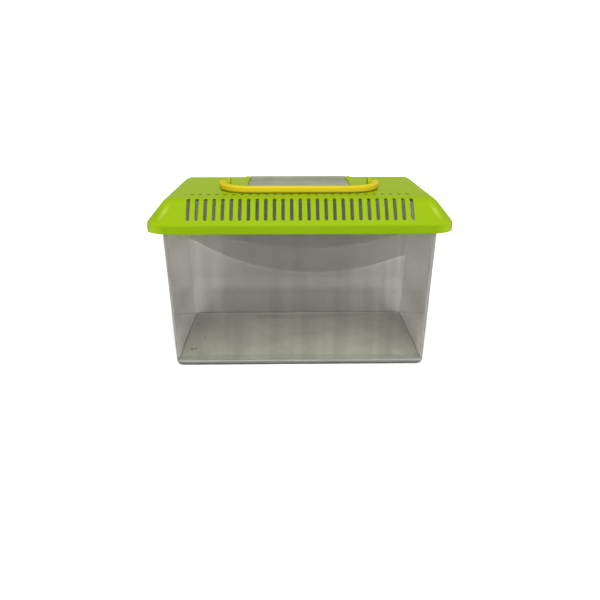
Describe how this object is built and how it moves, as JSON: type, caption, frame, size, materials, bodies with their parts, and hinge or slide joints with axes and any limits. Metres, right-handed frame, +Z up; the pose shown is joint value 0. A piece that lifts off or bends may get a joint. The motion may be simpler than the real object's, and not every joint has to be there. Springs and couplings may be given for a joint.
{
  "type": "plastic pet keeper",
  "caption": "Clear drafted plastic tank with a vented lift-off lid, a clear hinged feeding hatch and a fold-flat carry handle, for small pets.",
  "frame": {"origin": "middle of the tank's foot, on the surface it stands on", "axes": "+X to the right seen from the front, +Y to the back, where the hatch is hinged, +Z up; the handle is folded towards -Y, the front"},
  "size_m": [0.2302, 0.1502, 0.1432],
  "materials": {
    "smoke_clear_plastic": "polished clear polystyrene with a light smoke tint",
    "lime_plastic": "smooth injection-moulded, lime green, slightly translucent at thin edges",
    "hatch_clear_plastic": "clear moulded plastic with a faint grey tint",
    "yellow_plastic": "smooth injection-moulded, warm yellow"
  },
  "bodies": {
    "tank": {"tank": "smoke_clear_plastic"},
    "lid": {"lid": "lime_plastic"},
    "hatch": {"hatch": "hatch_clear_plastic"},
    "handle": {"handle": "yellow_plastic"}
  },
  "joints": [
    {"name": "lid_lift", "type": "slide", "parent": "tank", "child": "lid", "axis": [0, 0, 1], "range_m": [0, 0.08]},
    {"name": "hatch_hinge", "type": "hinge", "parent": "lid", "child": "hatch", "pos_m": [0, 0.048, 0.1349], "axis": [-1, 0, 0], "range_deg": [0, 110]},
    {"name": "handle_pivot", "type": "hinge", "parent": "lid", "child": "handle", "pos_m": [0, -0.0065, 0.1378], "axis": [-1, 0, 0], "range_deg": [0, 180]}
  ]
}
